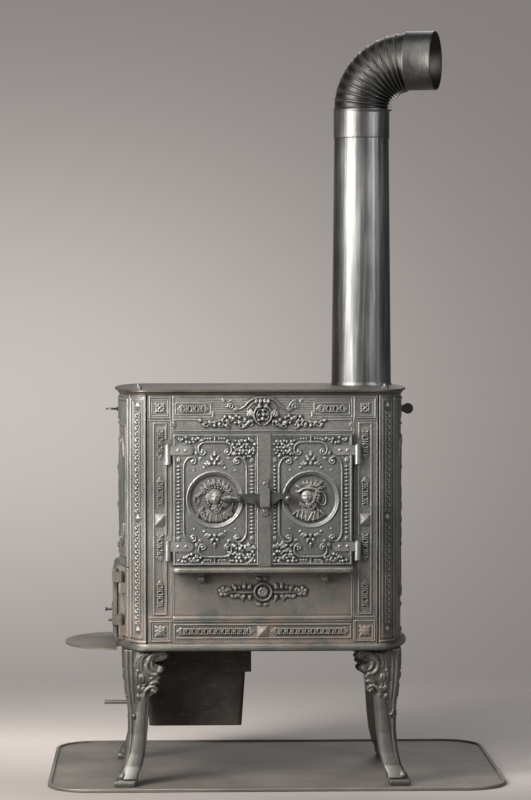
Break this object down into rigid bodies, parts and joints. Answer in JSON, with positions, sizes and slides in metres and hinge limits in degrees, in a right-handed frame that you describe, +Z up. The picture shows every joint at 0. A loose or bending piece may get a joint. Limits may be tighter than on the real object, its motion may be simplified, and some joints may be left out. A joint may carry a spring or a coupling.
{
  "type": "cast iron stove",
  "caption": "Free-standing iron oven stove on four scrolled legs, with double oven doors, side fire door, ash bin, two dampers, stovepipe with pleated elbow, and floor tray.",
  "frame": {"origin": "underside of the floor tray, below the plan centre of the stove body", "axes": "+Z up, +X to the right as seen from the front, -Y to the front where the oven doors are"},
  "size_m": [0.9, 0.58, 1.4908],
  "materials": {
    "blacked_iron": "stove-blacked casting, semi-gloss",
    "forged_iron": "blackened wrought iron, satin",
    "pipe_steel": "blued sheet steel, drawn streaks",
    "tray_steel": "worn dark sheet steel, dull",
    "ash_box_steel": "sooty brown-black sheet steel, matt",
    "fire_clay": "fired clay slab, matt"
  },
  "bodies": {
    "stove_body": {"floor_tray": "tray_steel", "front_left_leg": "blacked_iron", "front_right_leg": "blacked_iron", "back_left_leg": "blacked_iron", "back_right_leg": "blacked_iron", "leg_bolts": "forged_iron", "base_plate": "blacked_iron", "front_panel": "blacked_iron", "back_panel": "blacked_iron", "left_end_panel": "blacked_iron", "right_end_panel": "blacked_iron", "front_right_pilaster": "blacked_iron", "front_left_pilaster": "blacked_iron", "back_right_pilaster": "blacked_iron", "back_left_pilaster": "blacked_iron", "top_plate": "blacked_iron", "tie_rods": "forged_iron", "tie_nuts": "forged_iron", "oven_box": "blacked_iron", "front_firebrick": "fire_clay", "back_firebrick": "fire_clay", "grate": "blacked_iron", "flue_collar": "blacked_iron", "stove_pipe": "pipe_steel", "pipe_elbow": "pipe_steel", "hearth_shelf": "blacked_iron", "shelf_brackets": "blacked_iron", "door_hinge_lugs": "blacked_iron", "door_hinge_pins": "forged_iron", "fire_door_hinge_lugs": "blacked_iron", "fire_latch_keeper": "forged_iron", "ash_frame": "ash_box_steel", "ember_shelf": "tray_steel", "ember_shelf_bolts": "forged_iron"},
    "right_door": {"right_door": "blacked_iron", "right_door_straps": "forged_iron", "right_door_rivets": "forged_iron", "astragal": "forged_iron", "latch_keeper": "forged_iron", "keeper_rivets": "forged_iron", "latch_rivet": "forged_iron"},
    "left_door": {"left_door": "blacked_iron", "left_door_straps": "forged_iron", "left_door_rivets": "forged_iron", "latch_catch": "forged_iron"},
    "latch": {"latch_bar": "forged_iron"},
    "fire_door": {"fire_door": "blacked_iron", "fire_door_straps": "forged_iron", "slide_guides": "forged_iron", "fire_latch_rivet": "forged_iron"},
    "fire_latch": {"fire_latch": "forged_iron"},
    "draft_slide": {"draft_slide": "forged_iron"},
    "ash_bin": {"ash_bin": "ash_box_steel", "ash_bin_handle": "forged_iron"},
    "left_damper": {"left_damper_shaft": "forged_iron", "left_damper_flap": "blacked_iron"},
    "right_damper": {"right_damper_shaft": "forged_iron", "right_damper_flap": "blacked_iron"}
  },
  "joints": [
    {"name": "right_door_hinge", "type": "hinge", "parent": "stove_body", "child": "right_door", "pos_m": [0.184, -0.1864, 0.55], "axis": [0, 0, 1], "range_deg": [0, 110]},
    {"name": "left_door_hinge", "type": "hinge", "parent": "stove_body", "child": "left_door", "pos_m": [-0.184, -0.1864, 0.55], "axis": [0, 0, 1], "range_deg": [-110, 0]},
    {"name": "latch_pivot", "type": "hinge", "parent": "right_door", "child": "latch", "pos_m": [0.0486, -0.195, 0.565], "axis": [0, 1, 0], "range_deg": [0, 5]},
    {"name": "fire_door_hinge", "type": "hinge", "parent": "stove_body", "child": "fire_door", "pos_m": [-0.277, -0.112, 0.35], "axis": [0, 0, 1], "range_deg": [0, 105]},
    {"name": "fire_latch_pivot", "type": "hinge", "parent": "fire_door", "child": "fire_latch", "pos_m": [-0.293, 0.07, 0.296], "axis": [1, 0, 0], "range_deg": [0, 50]},
    {"name": "draft_slide_run", "type": "slide", "parent": "fire_door", "child": "draft_slide", "axis": [0, 1, 0], "range_m": [0, 0.014]},
    {"name": "ash_bin_slide", "type": "slide", "parent": "stove_body", "child": "ash_bin", "axis": [-1, 0, 0], "range_m": [0, 0.17]},
    {"name": "left_damper_turn", "type": "hinge", "parent": "stove_body", "child": "left_damper", "pos_m": [-0.27, 0, 0.7309], "axis": [1, 0, 0], "range_deg": [0, 90]},
    {"name": "right_damper_turn", "type": "hinge", "parent": "stove_body", "child": "right_damper", "pos_m": [0.27, 0, 0.7309], "axis": [1, 0, 0], "range_deg": [0, 90]}
  ],
  "couplings": [
    {"joint": "left_door_hinge", "follows": "right_door_hinge", "ratio": -1}
  ]
}
